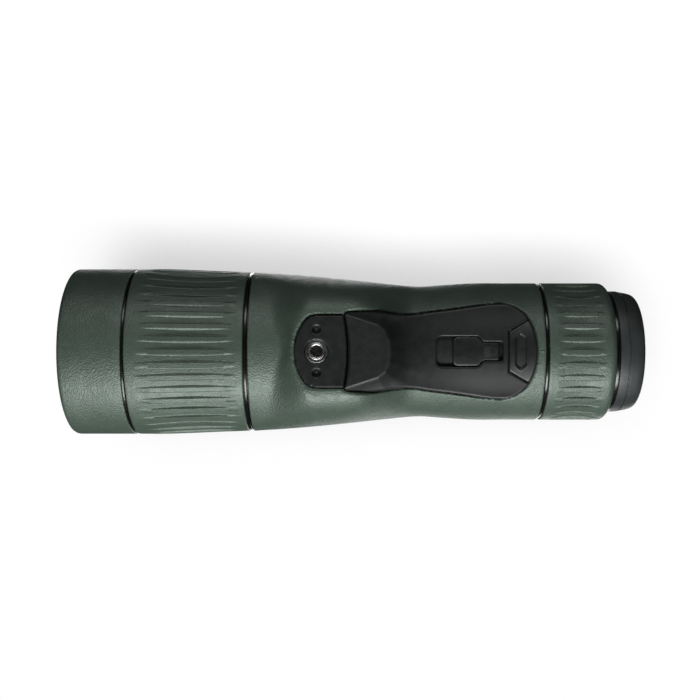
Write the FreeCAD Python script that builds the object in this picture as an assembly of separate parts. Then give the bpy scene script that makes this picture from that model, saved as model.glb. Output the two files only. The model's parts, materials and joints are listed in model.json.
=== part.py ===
"""Monocular laser rangefinder with a rubber-armoured single tube.

Millimetres, +Z up.  The origin is the mouth of the tripod socket on the flat foot, the optical
axis runs along +X from the objective to the eyepiece, and the instrument stands on its foot.
Every profile below is given as (x, radius about the optical axis).
"""
import FreeCAD, Part
import math
import os

V = FreeCAD.Vector

# ---- driving dimensions ---------------------------------------------------------------------
AXIS_Z = 44.5            # height of the optical axis above the foot
FAR = 200.0              # cutting tools that run right through reach this far
FRONT_X = -120.2         # front rim of the objective end
FRONT_R = 41.0           # outer radius of the front armour
FRONT_SEAM_X = -90.1     # gloss ring between the front barrel and the focus ring
REAR_SEAM_X = -33.4      # gloss ring between the focus ring and the body
BODY_X0 = -32.2
BODY_X1 = 107.0
ZOOM_SEAM_X = 107.9      # gloss ring between the body and the zoom ring
ZOOM_X0 = 108.9
ZOOM_X1 = 140.8
ZOOM_R = 34.0
EYECUP_X1 = 155.3
EYECUP_R = 30.0

BODY_PROFILE = [(BODY_X0, 39.5), (-17.0, 38.5), (0.2, 37.0), (20.0, 35.0), (34.9, 33.5),
                (49.8, 32.4), (62.0, 33.2), (76.0, 34.0), (92.0, 34.0), (BODY_X1, 34.0)]
ARMOUR_T = 2.2           # rubber skin over the housing
HOUSING_IN = 5.2         # inner wall of the housing, below the skin's outside
COVER_OUT = 1.5          # the battery cover stands this far proud of the armour
COVER_IN = 2.0           # and reaches this far below the armour's outside
COVER_GAP = 0.5
SWING_HALF = 16.9        # above SWING_Z the cover's front is this narrow, so that it can swing
SWING_Z = 8.0

BARREL_X0 = -118.4       # front barrel, just inside the armour's front lip
BARREL_SHOULDER_X = -89.1
FOCUS_BORE_X0 = -88.0    # the barrel narrows here, behind the objective
SPIGOT_X1 = -24.2        # the barrel's spigot ends here, inside the housing
BARREL_OUT = 38.6        # front barrel under its armour
BARREL_BEARING = 36.5    # the focus ring turns on this
BARREL_IN = 33.0
FOCUS_BORE = 31.0
SPIGOT_R = 34.6
RUN = 0.06               # radial running clearance
GRUB_X = -28.0           # ring of screws that tie the spigot to the housing
GRUB_R = 1.3
OBJECTIVE_R = 29.6
FOCUS_LENS_R = 24.0
FOCUS_PIN_X = -50.0      # the focus group's guide pin runs in a slot in the barrel
FOCUS_PIN_R = 1.5
FOCUS_SLOT_HALF = 8.0

FOCUS_X0 = -88.8
FOCUS_X1 = -34.8
FOCUS_FLUTES = 42
FOCUS_FLUTE_W = 4.0
ZOOM_FLUTES = 34
ZOOM_FLUTE_W = 4.0
GRIP_CORE = 1.9          # metal sleeve under a grip
SEAM_HALF = 0.9          # half the width of a gloss ring
FRONT_SEAM_R = 40.4
REAR_SEAM_R = 38.9
ZOOM_SEAM_R = 33.4

TUBE_R = 28.8            # eyepiece tube under the zoom ring
TUBE_IN = 26.0
NOSE_R = 27.0            # eyepiece tube under the eyecup
ZOOM_CORE_R = 31.0
TUBE_X0 = 99.4
TUBE_X1 = 140.9
NOSE_X1 = 150.4
GUIDE_R = 21.6           # the zoom cells' guide rods stand on this circle
GUIDE_ROD_R = 1.0
THIRDS = (60, 180, 300)  # degrees about the axis, for parts that come in threes
DRIVE_PIN_X = 113.0
DRIVE_PIN_R = 1.5
SLOT_W = 3.6             # axial width of the drive pin's slot
SLOT_SWEEP = 124
ZOOM_LENS_R = 17.5
ZOOM_CELL_L = 6.0
FRONT_ZOOM_X = 108.2
REAR_ZOOM_X = 127.0
EYE_LENS_R = 21.5
CUP_SEAT_R = 28.6        # carrier under the rubber eyecup
SLOT_START = -7.0        # degrees; the drive pin's slot in the eyepiece tube starts here

SOCKET_R = 2.55          # tapping size of a 1/4-20 thread
SOCKET_DEPTH = 8.0
INSERT_R = 4.5
FLANGE_R = 5.3
FLANGE_Z = 1.4
INSERT_Z = 0.3           # the insert sits this far inside the foot face
TWIST_PIN_R = 2.05
TWIST_PIN_Y = 9.9
PLATE_T = 4.0
PLATE_HALF = 16.5
PLATE_NOSE_R = 22.5
PLATE_NOSE_X = 12.3
PLATE_SHOULDER = 14.0    # half width where the nose arc ends
PLATE_CHAMFER = 0.5
PLATE_REAR_SAG = 1.6

HINGE_X = 16.9
HINGE_Z = 2.6
HINGE_NOSE = 2.6
HINGE_PIN_R = 0.8
EAR_Y = 11.5
EAR_T = 3.0
EAR_R = 1.7

BATTERY_X0 = 52.0
BATTERY_X1 = 86.5
BATTERY_R = 8.5
BATTERY_Z = 23.4
BAY_X0 = 49.2            # plastic frame that lines the battery bay
BAY_X1 = 90.8
BAY_HALF = 10.3
BAY_WALL = 1.3
BAY_Z0 = 17.3
BAY_Z1 = 33.4
SEAL_T = 1.0

LOCK_TRAVEL = 7.7
LOCK_FLOOR = 33.3
LOCK_TOP = 34.7
LOCK_X0 = 55.5           # pocket of the lock slider
LOCK_SHOULDER_X = 75.3
TAB_X0 = 89.4
TAB_HINGE_X = 90.4
TAB_HINGE_Z = 11.6
TAB_PIN_R = 0.6

RANGE_BUTTON_X = 28.0
MODE_BUTTON_X = 50.0
BEZEL_TOP = 79.6
BEZEL_R = 9.0
RANGE_BUTTON_R = 6.1
MODE_BUTTON_R = 4.1
BUTTON_GAP = 0.3
BUTTON_RISE = 1.2

CAGE_X0 = 2.0            # cage of the erecting prisms
CAGE_X1 = 46.0
CAGE_WALL = 1.5
CAGE_HALF_Y = 13.5
CAGE_HALF_Z = 14.5
PRISM_HALF_Z = 12.9
PRISM_HALF_Y = 11.9
BOARD_Z = AXIS_Z + 18.2
BOARD_T = 1.6
BOARD_HALF = 13.0
BOARD_HOLES_X = (7, 89)
BOARD_HOLE_Y = 11.0


# ---- helpers --------------------------------------------------------------------------------
def at_axis(x, r):
    """Point of a profile, in the XZ half plane above the optical axis."""
    return V(x, 0, AXIS_Z + r)


def revolve(edges):
    """Solid of revolution about the optical axis from a closed list of edges."""
    face = Part.Face(Part.Wire(Part.__sortEdges__(edges)))
    return face.revolve(V(0, 0, AXIS_Z), V(1, 0, 0), 360)


def turned(points):
    """Revolve a closed polygon of (x, radius) corners."""
    corners = [at_axis(x, r) for x, r in points]
    return revolve(Part.makePolygon(corners + corners[:1]).Edges)


def ring(x0, x1, r_in, r_out, edge=0.0):
    """Turned ring, with both outer corners broken by edge."""
    if edge <= 0:
        return turned([(x0, r_in), (x0, r_out), (x1, r_out), (x1, r_in)])
    return turned([(x0, r_in), (x0, r_out - edge), (x0 + edge, r_out),
                   (x1 - edge, r_out), (x1, r_out - edge), (x1, r_in)])


def disc(x0, x1, r):
    return Part.makeCylinder(r, x1 - x0, V(x0, 0, AXIS_Z), V(1, 0, 0))


def spline(points):
    curve = Part.BSplineCurve()
    curve.interpolate(Points=points)
    return curve.toShape()


def body_solid(offset, x0=BODY_X0, x1=BODY_X1):
    """Solid of the waisted body, its radius grown by offset, with both ends cut square."""
    outer = spline([at_axis(x, r + offset) for x, r in BODY_PROFILE])
    first = at_axis(BODY_X0, 0)
    last = at_axis(BODY_X1, 0)
    start = at_axis(BODY_X0, BODY_PROFILE[0][1] + offset)
    end = at_axis(BODY_X1, BODY_PROFILE[-1][1] + offset)
    whole = revolve([outer, Part.makeLine(first, start), Part.makeLine(end, last),
                     Part.makeLine(last, first)])
    if x0 == BODY_X0 and x1 == BODY_X1:
        return whole
    return whole.common(block(x0, x1, -FAR, FAR, -FAR, FAR))


def block(x0, x1, y0, y1, z0, z1):
    return Part.makeBox(x1 - x0, y1 - y0, z1 - z0, V(x0, y0, z0))


def prism(edges, z0, z1):
    """Vertical prism over a closed outline drawn at z = 0."""
    face = Part.Face(Part.Wire(Part.__sortEdges__(edges)))
    face.translate(V(0, 0, z0))
    return face.extrude(V(0, 0, z1 - z0))


def side_prism(points, half_y):
    """Prism across the instrument over an (x, z) polygon."""
    corners = [V(x, -half_y, z) for x, z in points]
    face = Part.Face(Part.makePolygon(corners + corners[:1]))
    return face.extrude(V(0, 2 * half_y, 0))


def across(x, z, r, half_y):
    """Cylinder along Y."""
    return Part.makeCylinder(r, 2 * half_y, V(x, -half_y, z), V(0, 1, 0))


def upright(x, y, z0, z1, r):
    return Part.makeCylinder(r, z1 - z0, V(x, y, z0), V(0, 0, 1))


def lens(x0, x1, r, front_sag, rear_sag):
    """Lens with its vertices at x0 and x1; a positive sag bulges outward."""
    front = Part.Arc(at_axis(x0, 0), at_axis(x0 + front_sag / 4, r / 2),
                     at_axis(x0 + front_sag, r)).toShape()
    rear = Part.Arc(at_axis(x1, 0), at_axis(x1 - rear_sag / 4, r / 2),
                    at_axis(x1 - rear_sag, r)).toShape()
    rim = Part.makeLine(at_axis(x0 + front_sag, r), at_axis(x1 - rear_sag, r))
    return revolve([front, rim, rear, Part.makeLine(at_axis(x1, 0), at_axis(x0, 0))])


def about_axis(shape, angle):
    copy = shape.copy()
    copy.rotate(V(0, 0, AXIS_Z), V(1, 0, 0), angle)
    return copy


def fluted(solid, count, width, x0, x1, r_bottom, r_top):
    """Cut straight channels round a grip."""
    channel = block(x0, x1, -width / 2, width / 2, AXIS_Z - r_top, AXIS_Z - r_bottom)
    channels = [about_axis(channel, 360.0 * i / count) for i in range(count)]
    return solid.cut(Part.makeCompound(channels))


def group(solids):
    return Part.makeCompound(solids)


# ---- outlines seen from below ---------------------------------------------------------------
def plate_outline():
    """D-shaped tripod plate: a round nose, straight sides and a shallow convex rear edge."""
    rear_y = PLATE_HALF
    corner_x = PLATE_NOSE_X - math.sqrt(PLATE_NOSE_R ** 2 - PLATE_SHOULDER ** 2)
    shoulder = PLATE_SHOULDER
    nose = Part.Arc(V(corner_x, -shoulder, 0), V(PLATE_NOSE_X - PLATE_NOSE_R, 0, 0),
                    V(corner_x, shoulder, 0)).toShape()
    left = Part.Arc(V(corner_x, shoulder, 0), V(corner_x + 2.1, rear_y - 0.7, 0),
                    V(corner_x + 5.0, rear_y, 0)).toShape()
    right = Part.Arc(V(corner_x + 5.0, -rear_y, 0), V(corner_x + 2.1, 0.7 - rear_y, 0),
                     V(corner_x, -shoulder, 0)).toShape()
    rear = Part.Arc(V(PLATE_NOSE_X, rear_y, 0), V(PLATE_NOSE_X + PLATE_REAR_SAG, 0, 0),
                    V(PLATE_NOSE_X, -rear_y, 0)).toShape()
    sides = [Part.makeLine(V(corner_x + 5.0, s * rear_y, 0), V(PLATE_NOSE_X, s * rear_y, 0))
             for s in (-1, 1)]
    return [nose, left, right, rear] + sides


def cover_outline(grow=0.0):
    """Hourglass outline of the battery cover, with a rounded rear end."""
    x0 = HINGE_X - HINGE_NOSE - grow
    half = [V(x0, 17.6 + grow, 0), V(20.0, 18.9 + grow, 0), V(38.9, 17.15 + grow, 0),
            V(53.4, 18.5 + grow, 0), V(76.4, 21.6 + grow, 0), V(87.0, 22.4 + grow, 0),
            V(97.2 + 0.7 * grow, 17.6 + 0.7 * grow, 0), V(102.5 + grow, 0, 0)]
    mirrored = [V(p.x, -p.y, 0) for p in reversed(half[:-1])]
    return [spline(half + mirrored), Part.makeLine(mirrored[-1], half[0])]


def lock_outline(x0, x_shoulder, x1, half, neck, ease=0.0):
    """Bottle shape: a wide body to the front and a neck to the rear."""
    wide = half + ease
    slim = neck + ease
    points = [(x0, -wide), (x_shoulder, -wide), (x_shoulder + 1.9, -slim), (x1, -slim),
              (x1, slim), (x_shoulder + 1.9, slim), (x_shoulder, wide), (x0, wide)]
    corners = [V(x, y, 0) for x, y in points]
    return Part.makePolygon(corners + corners[:1]).Edges


def tab_outline(ease=0.0):
    """Trapezoid that widens towards the cover's rear edge."""
    points = [(TAB_X0 - ease, -9.2 - ease), (104.0, -14.6 - ease), (104.0, 14.6 + ease),
              (TAB_X0 - ease, 9.2 + ease)]
    corners = [V(x, y, 0) for x, y in points]
    return Part.makePolygon(corners + corners[:1]).Edges


# ---- front barrel and objective -------------------------------------------------------------
def front_barrel():
    """Stepped tube: objective seat, bearing for the focus ring, and spigot into the housing."""
    tube = turned([(BARREL_X0, BARREL_IN), (BARREL_X0, BARREL_OUT),
                   (BARREL_SHOULDER_X, BARREL_OUT), (BARREL_SHOULDER_X, BARREL_BEARING),
                   (BODY_X0, BARREL_BEARING), (BODY_X0, SPIGOT_R), (SPIGOT_X1, SPIGOT_R),
                   (SPIGOT_X1, FOCUS_BORE), (FOCUS_BORE_X0, FOCUS_BORE),
                   (FOCUS_BORE_X0, BARREL_IN)])
    slot_half_y = FOCUS_PIN_R + 0.2
    slot = block(FOCUS_PIN_X - FOCUS_SLOT_HALF, FOCUS_PIN_X + FOCUS_SLOT_HALF,
                 -slot_half_y, slot_half_y, AXIS_Z + 29, AXIS_Z + 38)
    return tube.cut(slot).cut(barrel_grub_screws())


def barrel_grub_screws():
    """Three screws that tie the barrel's spigot to the housing."""
    screw = upright(GRUB_X, 0, AXIS_Z + 33.2, AXIS_Z + 36.9, GRUB_R)
    return group([about_axis(screw, angle) for angle in THIRDS])


def front_armour():
    """Rubber sleeve whose lip folds in over the front rim."""
    r_in = BARREL_OUT
    lip = 1.5
    return turned([(FRONT_X + 1.8, r_in), (FRONT_X + 1.8, BARREL_IN + 1.2),
                   (FRONT_X, BARREL_IN + 1.9), (FRONT_X, FRONT_R - lip),
                   (FRONT_X + lip * 0.3, FRONT_R - lip * 0.3), (FRONT_X + lip, FRONT_R),
                   (-91.3, FRONT_R), (-91.0, FRONT_R - 0.3), (-91.0, r_in)])


def seam_ring(x, r_in, r_out):
    return ring(x - SEAM_HALF, x + SEAM_HALF, r_in, r_out, 0.3)


def objective_cell():
    """Ring that carries the two objective lenses against a rear shoulder."""
    return turned([(-111.0, OBJECTIVE_R), (-111.0, BARREL_IN), (-91.5, BARREL_IN), (-91.5, 27.2),
                   (-93.2, 27.2), (-93.2, OBJECTIVE_R)])


def o_ring(x, r, wire):
    """Torus seated at radius r."""
    circle = Part.Circle(at_axis(x, r), V(0, 1, 0), wire).toShape()
    return revolve([circle])


# ---- focus group ----------------------------------------------------------------------------
def focus_core():
    return ring(FOCUS_X0 + 0.2, FOCUS_X1 - 0.2, BARREL_BEARING + RUN, BARREL_BEARING + GRIP_CORE)


def focus_grip():
    """Rubber sleeve that tapers slightly towards the body."""
    r_in = BARREL_BEARING + GRIP_CORE
    sleeve = turned([(FOCUS_X0, r_in), (FOCUS_X0, 40.6), (FOCUS_X0 + 0.5, 41.0), (-74.0, 41.0),
                     (-62.0, 40.6), (-48.0, 40.0), (FOCUS_X1 - 0.5, 39.5), (FOCUS_X1, 39.1),
                     (FOCUS_X1, r_in)])
    return fluted(sleeve, FOCUS_FLUTES, FOCUS_FLUTE_W, -84.0, -37.5, 39.3, 42.0)


def focus_carriage():
    """Lens cell that slides in the barrel, with the pin that stops it turning."""
    cell = ring(FOCUS_PIN_X - 6.0, FOCUS_PIN_X + 6.0, FOCUS_LENS_R, FOCUS_BORE - RUN)
    pin = upright(FOCUS_PIN_X, 0, AXIS_Z + 29.0, AXIS_Z + 36.3, FOCUS_PIN_R)
    return cell.fuse(pin)


# ---- body -----------------------------------------------------------------------------------
def battery_window():
    """Opening in the housing that the bay's frame fits with a little play."""
    play = 0.2
    return block(BAY_X0 - play, BAY_X1 + play, -BAY_HALF - play, BAY_HALF + play, 0, AXIS_Z - 8.0)


def main_housing():
    """Hollow body shell with the tripod pedestal, hinge ears, battery window and button holes."""
    inner = body_solid(-HOUSING_IN)
    shell = body_solid(-ARMOUR_T).cut(inner)
    shell = shell.cut(disc(BODY_X0 - 1, SPIGOT_X1 + 0.2, SPIGOT_R))
    shell = shell.cut(ring(TUBE_X0 - 0.4, BODY_X1 + 1, 20.0, TUBE_R))
    pedestal = prism(plate_outline(), PLATE_T, AXIS_Z - 20).cut(inner)
    ears = []
    for side in (-1, 1):
        y0 = side * EAR_Y - EAR_T / 2
        arm = block(HINGE_X - EAR_R, HINGE_X + EAR_R, y0, y0 + EAR_T, HINGE_Z, 16)
        eye = Part.makeCylinder(EAR_R, EAR_T, V(HINGE_X, y0, HINGE_Z), V(0, 1, 0))
        ears.append(arm.fuse(eye).cut(inner))
    shell = shell.fuse([pedestal] + ears)
    holes = [upright(0, 0, 0, 9.8, INSERT_R)]
    holes += [upright(0, s * TWIST_PIN_Y, 0, PLATE_T + 1.5, TWIST_PIN_R) for s in (-1, 1)]
    holes.append(battery_window())
    holes.append(across(HINGE_X, HINGE_Z, HINGE_PIN_R, 14))
    holes.append(prism(tab_outline(0.8), 5, 30).cut(disc(80, 110, 29.4)))
    ear_end_y = EAR_Y + EAR_T / 2 + 0.1
    under_cover = prism(cover_outline(0.2), 0, 40).common(disc(10, 106, 60))
    under_cover = under_cover.cut(body_solid(-ARMOUR_T, 10, 106))
    holes.append(under_cover.cut(block(0, HINGE_X + EAR_R, -ear_end_y, ear_end_y, 0, 60)))
    for x, r in ((RANGE_BUTTON_X, RANGE_BUTTON_R), (MODE_BUTTON_X, MODE_BUTTON_R)):
        holes.append(upright(x, 0, AXIS_Z + 20, AXIS_Z + 40, r + 0.1))
    for angle in THIRDS:
        screw_hole = upright(GRUB_X, 0, AXIS_Z + 30, AXIS_Z + 40, GRUB_R)
        screw_hole.rotate(V(GRUB_X, 0, 0), V(0, 0, 1), 90)
        holes.append(about_axis(screw_hole, angle))
    for hole in holes:
        shell = shell.cut(hole)
    return shell


def foot_fairing():
    """Rubber web that spreads from the foot to the round body, as levels of rising width."""
    levels = [(1.6, [(-12.0, 17.2), (18.0, 19.6), (31.0, 18.6)]),
              (8.0, [(-16.0, 21.0), (18.0, 26.0), (36.0, 21.0)]),
              (17.0, [(-20.0, 26.0), (18.0, 30.5), (42.0, 25.5)])]
    wires = []
    for z, half in levels:
        corners = [V(x, -y, z) for x, y in half] + [V(x, y, z) for x, y in reversed(half)]
        wires.append(Part.makePolygon(corners + corners[:1]))
    return Part.makeLoft(wires, True, True)


def body_armour():
    """Rubber skin of the body and foot, open where the plate, cover and buttons show."""
    core = body_solid(-ARMOUR_T)
    skin = body_solid(0).cut(core).fuse(foot_fairing().cut(core))
    for opening in (prism(plate_outline(), -1, 40), prism(cover_outline(COVER_GAP), -5, AXIS_Z),
                    button_pad()):
        skin = skin.cut(opening)
    return max(skin.Solids, key=lambda solid: solid.Volume)


def tripod_plate():
    """Foot plate with the tripod socket's seat and a hole each side for anti-twist pins."""
    plate = prism(plate_outline(), 0, PLATE_T)
    edges = [e for e in plate.Edges if e.BoundBox.ZMax < 0.01]
    plate = plate.makeChamfer(PLATE_CHAMFER, edges)
    plate = plate.cut(upright(0, 0, -1, FLANGE_Z, FLANGE_R))
    plate = plate.cut(upright(0, 0, -1, PLATE_T + 1, INSERT_R))
    for side in (-1, 1):
        plate = plate.cut(upright(0, side * TWIST_PIN_Y, -1, PLATE_T + 1, TWIST_PIN_R))
    return plate


def tripod_insert():
    """Flanged bush with the tripod thread's bore, chamfered at its mouth."""
    body = upright(0, 0, INSERT_Z, 9.6, INSERT_R).fuse(upright(0, 0, INSERT_Z, FLANGE_Z, FLANGE_R))
    bore = upright(0, 0, 0, INSERT_Z + SOCKET_DEPTH, SOCKET_R)
    mouth = Part.makeCone(SOCKET_R + 0.75, SOCKET_R, 0.75, V(0, 0, INSERT_Z), V(0, 0, 1))
    return body.cut(bore).cut(mouth)


# ---- battery bay and cover ------------------------------------------------------------------
def cover_body():
    """Solid of the cover before its pockets: a foot block that runs back into a raised shell."""
    rear = body_solid(COVER_OUT, 30, 106)
    drop = side_prism([(HINGE_X - HINGE_NOSE, HINGE_Z), (HINGE_X - 1.9, 0.9), (HINGE_X, 0),
                       (30.5, 0), (34.0, 0.9), (37.0, 3.6), (41.0, 7.2), (47.0, 10.2),
                       (52.0, 10.9), (52.0, 20), (19.5, 20)], 30)
    chin = drop.fuse(rear)
    chin = chin.common(prism(cover_outline(), -5, AXIS_Z - 20))
    return chin.cut(body_solid(-COVER_IN))


def battery_cover():
    """The cover with its hinge slots, the lock's pocket and the opening for the release tab."""
    cover = cover_body()
    cover = cover.cut(block(10, HINGE_X - HINGE_NOSE, -30, 30, -5, 40))
    for side in (-1, 1):
        y0 = side * EAR_Y - EAR_T / 2 - 0.25
        cover = cover.cut(block(10, HINGE_X + 2.1, y0, y0 + EAR_T + 0.5, 0.7, 30))
    cover = cover.cut(across(HINGE_X, HINGE_Z, HINGE_PIN_R + RUN, 14))
    for y0, y1 in ((-30, -SWING_HALF), (SWING_HALF, 30)):
        cover = cover.cut(block(10, 34, y0, y1, SWING_Z, 60))
    outline = lock_outline(LOCK_X0, LOCK_SHOULDER_X, 86.7, 7.26, 4.65)
    pocket = prism(outline, 0, 30).cut(disc(50, 90, LOCK_FLOOR))
    cover = cover.cut(pocket)
    cover = cover.cut(prism(tab_outline(0.3), 0, 30))
    cover = cover.cut(across(TAB_HINGE_X, TAB_HINGE_Z, TAB_PIN_R, 11.2))
    return max(cover.Solids, key=lambda solid: solid.Volume)


def lock_slider():
    """Bottle-shaped slider that lies just off the floor of its pocket."""
    outline = lock_outline(LOCK_X0 + LOCK_TRAVEL, LOCK_SHOULDER_X, 84.9, 7.0, 4.4)
    return prism(outline, 0, 30).common(ring(50, 90, LOCK_FLOOR + 0.05, LOCK_TOP))


def release_tab():
    """Rear part of the cover that rocks on its pin, with a six-sided finger pad sunk into it."""
    tab = cover_body().common(prism(tab_outline(), 0, 30))
    tab = tab.cut(across(TAB_HINGE_X, TAB_HINGE_Z, TAB_PIN_R + RUN, 14))
    corners = [V(x, y, 0) for x, y in ((92.5, -6.2), (95.0, -8.4), (97.5, -6.2),
                                       (97.5, 6.2), (95.0, 8.4), (92.5, 6.2))]
    pad = prism(Part.makePolygon(corners + corners[:1]).Edges, 0, 30)
    return tab.cut(pad.cut(disc(80, 110, 34.9)))


def battery_frame():
    """Open-bottomed box round the cell."""
    outer = block(BAY_X0, BAY_X1, -BAY_HALF, BAY_HALF, BAY_Z0, BAY_Z1)
    return outer.cut(bay_room(BAY_Z1 - 1.1))


def bay_room(z1):
    """Room for the cell, up to a height."""
    return block(BAY_X0 + 1.4, BAY_X1 - 1.4, -BAY_HALF + BAY_WALL, BAY_HALF - BAY_WALL, 10, z1)


def battery_seal():
    """Flat gasket on the frame's lower rim."""
    rim = block(BAY_X0, BAY_X1, -BAY_HALF, BAY_HALF, BAY_Z0 - SEAL_T, BAY_Z0)
    return rim.cut(bay_room(BAY_Z0 + 2.7))


def battery():
    """Cylindrical cell with its raised contact towards the eyepiece."""
    can_length = BATTERY_X1 - BATTERY_X0 - 1.5
    can = Part.makeCylinder(BATTERY_R, can_length, V(BATTERY_X0, 0, BATTERY_Z), V(1, 0, 0))
    button = Part.makeCylinder(3.2, 1.6, V(BATTERY_X1 - 1.6, 0, BATTERY_Z), V(1, 0, 0))
    return can.fuse(button)


def contact_spring():
    """Flat contact with three raised turns that press on the cell."""
    turns = [Part.makeTorus(5.6 - 1.3 * i, 0.35, V(50.97 + 0.33 * i, 0, BATTERY_Z), V(1, 0, 0))
             for i in range(3)]
    plate = block(50.62, 50.9, -6.5, 6.5, BATTERY_Z - 6, BATTERY_Z + 6)
    return plate.fuse(turns)


def contact_plate():
    """Channel-shaped spring contact against the cell's raised end."""
    return block(86.6, 89.3, -5, 5, BATTERY_Z - 4, BATTERY_Z + 4).cut(
        block(87.2, 88.6, -6, 6, BATTERY_Z - 3, BATTERY_Z + 5))


# ---- ranging electronics and erecting optics -------------------------------------------------
def beam_splitter():
    """Glass cube that joins the ranging beam to the view."""
    return block(-16, -2, -7, 7, AXIS_Z - 7, AXIS_Z + 7)


def laser_module():
    """Laser barrel above the axis, on its square driver block."""
    barrel = Part.makeCylinder(5.5, 16, V(-20, 0, AXIS_Z + 14), V(1, 0, 0))
    return barrel.fuse(block(-4.5, -1, -6, 6, AXIS_Z + 8.2, AXIS_Z + 19.8))


def receiver_module():
    """Receiver barrel beside the axis, on its square detector block."""
    barrel = Part.makeCylinder(6.0, 14, V(-18, 15.5, AXIS_Z), V(1, 0, 0))
    return barrel.fuse(block(-4.5, -1, 9, 22, AXIS_Z - 6.5, AXIS_Z + 6.5))


def prism_cage():
    """Tray with end walls, bored through for the light path and open on top."""
    half_y = CAGE_HALF_Y
    half_z = CAGE_HALF_Z
    outer = block(CAGE_X0, CAGE_X1, -half_y, half_y, AXIS_Z - half_z, AXIS_Z + half_z)
    inner = block(CAGE_X0 + 2, CAGE_X1 - 2, CAGE_WALL - half_y, half_y - CAGE_WALL,
                  AXIS_Z - half_z + CAGE_WALL, AXIS_Z + 20)
    return outer.cut(inner).cut(disc(CAGE_X0 - 2, CAGE_X1 + 4, 9.5))


def front_prism():
    """Wedge prism that fills the front of the cage."""
    low = AXIS_Z - PRISM_HALF_Z
    high = AXIS_Z + PRISM_HALF_Z
    return side_prism([(4.1, low), (19.4, low), (25.2, high), (8.0, high)], PRISM_HALF_Y)


def rear_prism():
    """The second prism leans the other way, so the glass path folds twice."""
    low = AXIS_Z - PRISM_HALF_Z
    high = AXIS_Z + PRISM_HALF_Z
    return side_prism([(20.0, low), (43.9, low), (43.9, high), (25.8, high)], PRISM_HALF_Y)


def display_plate():
    """Glass disc with a tail up to the board, where the reading is shown."""
    return disc(47.0, 48.4, 10.5).fuse(block(47.0, 48.4, -6, 6, AXIS_Z, AXIS_Z + 16))


def main_board():
    """Circuit board along the top of the body, with three chips and its screw holes."""
    top = BOARD_Z + BOARD_T
    board = block(4, 92, -BOARD_HALF, BOARD_HALF, BOARD_Z, top)
    chips = [block(x, x + 9, y, y + 9, top, top + 1.4) for x, y in ((60, -10), (76, 1), (38, -11))]
    holes = [upright(x, side * BOARD_HOLE_Y, 0, FAR, 1.1)
             for x in BOARD_HOLES_X for side in (-1, 1)]
    return board.fuse(chips).cut(group(holes))


def board_screws():
    """Four pan-head screws through the board's corners."""
    top = BOARD_Z + BOARD_T
    screws = []
    for x in BOARD_HOLES_X:
        for y in (-BOARD_HOLE_Y, BOARD_HOLE_Y):
            shank = upright(x, y, BOARD_Z - 1.2, top, 1.0)
            screws.append(shank.fuse(upright(x, y, top, top + 1.2, 1.9)))
    return group(screws)


def flex_cable():
    """Flat cable folded from the laser's block under the board."""
    points = [(-1.0, AXIS_Z + 12), (2.6, AXIS_Z + 15.6), (2.6, AXIS_Z + 17.2), (9.0, AXIS_Z + 17.2),
              (9.0, AXIS_Z + 17.5), (2.2, AXIS_Z + 17.5), (2.2, AXIS_Z + 15.8), (-1.0, AXIS_Z + 12.4)]
    return side_prism(points, 3.5)


# ---- buttons --------------------------------------------------------------------------------
def button_pad():
    """Stadium pad on top of the body that carries both buttons."""
    r = BEZEL_R
    x0 = RANGE_BUTTON_X
    x1 = MODE_BUTTON_X
    pad = upright(x0, 0, AXIS_Z + 20, BEZEL_TOP, r).fuse(upright(x1, 0, AXIS_Z + 20, BEZEL_TOP, r))
    pad = pad.fuse(block(x0, x1, -r, r, AXIS_Z + 20, BEZEL_TOP))
    return pad.cut(body_solid(-ARMOUR_T))


def button_bezel():
    pad = button_pad()
    for x, r in ((RANGE_BUTTON_X, RANGE_BUTTON_R), (MODE_BUTTON_X, MODE_BUTTON_R)):
        pad = pad.cut(upright(x, 0, AXIS_Z + 20, FAR, r + BUTTON_GAP))
    return pad


def push_button(x, r):
    """Domed cap on a narrower stem that reaches down to its switch."""
    stem = upright(x, 0, AXIS_Z + 24.0, BEZEL_TOP - 2.0, r - 1.6)
    cap = upright(x, 0, BEZEL_TOP - 2.0, BEZEL_TOP + BUTTON_RISE, r)
    return cap.makeFillet(0.6, [e for e in cap.Edges if e.BoundBox.ZMin > BEZEL_TOP + 1]).fuse(stem)


def dome_switches():
    top = BOARD_Z + BOARD_T
    return group([upright(x, 0, top, top + 1.6, 3.4) for x in (RANGE_BUTTON_X, MODE_BUTTON_X)])


# ---- eyepiece and zoom ----------------------------------------------------------------------
def eyepiece_tube():
    """Stepped tube with a slot round it for the zoom ring's drive pin."""
    tube = turned([(TUBE_X0, TUBE_IN), (TUBE_X0, TUBE_R), (TUBE_X1, TUBE_R), (TUBE_X1, NOSE_R),
                   (NOSE_X1, NOSE_R), (NOSE_X1, TUBE_IN - 1.4), (138.6, TUBE_IN - 1.4),
                   (138.6, TUBE_IN)])
    sweep = Part.makeCylinder(TUBE_R + 1, SLOT_W, V(DRIVE_PIN_X - SLOT_W / 2, 0, AXIS_Z),
                              V(1, 0, 0), SLOT_SWEEP)
    sweep.rotate(V(0, 0, AXIS_Z), V(1, 0, 0), SLOT_START)
    return tube.cut(sweep.cut(disc(100, 130, TUBE_IN - 1)))


def zoom_core():
    core = ring(ZOOM_X0 + 0.2, ZOOM_X1 - 0.2, TUBE_R + RUN, ZOOM_CORE_R)
    return core.cut(zoom_drive_pin())


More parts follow.
